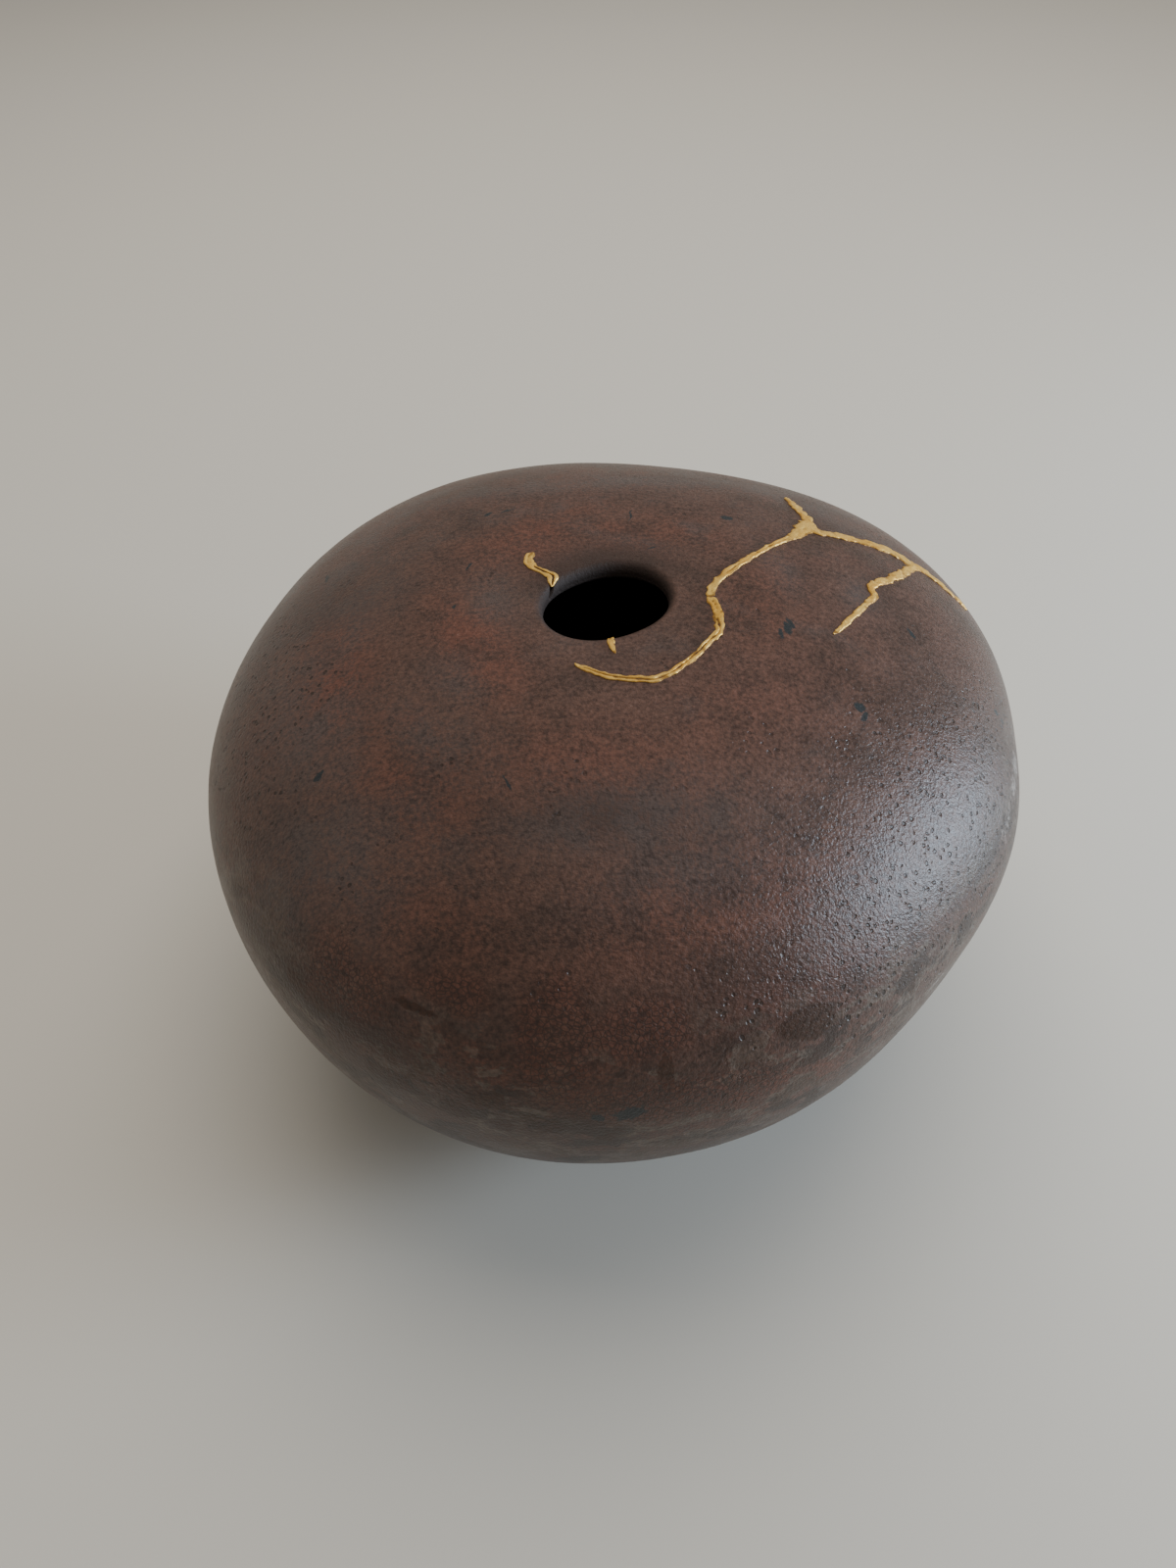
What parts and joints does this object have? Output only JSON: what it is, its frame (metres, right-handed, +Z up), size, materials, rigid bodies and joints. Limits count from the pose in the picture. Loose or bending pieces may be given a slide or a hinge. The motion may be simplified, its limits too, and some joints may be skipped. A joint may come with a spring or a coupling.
{
  "type": "kintsugi vase",
  "caption": "Wide, squashed stoneware vase with a small rolled-in mouth and a flat foot, hollow and empty, mended with raised gold seams.",
  "frame": {"origin": "middle of the flat foot, on the table, on the axis that the vase was turned about", "axes": "+Z up along that axis, through the mouth; +X to the viewer's right in the picture and +Y away from the viewer"},
  "size_m": [0.275, 0.2872, 0.1685],
  "materials": {
    "stoneware": "burnished dark brown stoneware with rust and grey mottling and a fine pitted grain, satin",
    "gold_leaf": "pale matte gold leaf over lacquer, wrinkled, with ragged edges"
  },
  "bodies": {
    "root": {"vase_body": "stoneware", "gold_seam_long": "gold_leaf", "gold_seam_left": "gold_leaf", "gold_seam_front": "gold_leaf"}
  },
  "joints": []
}
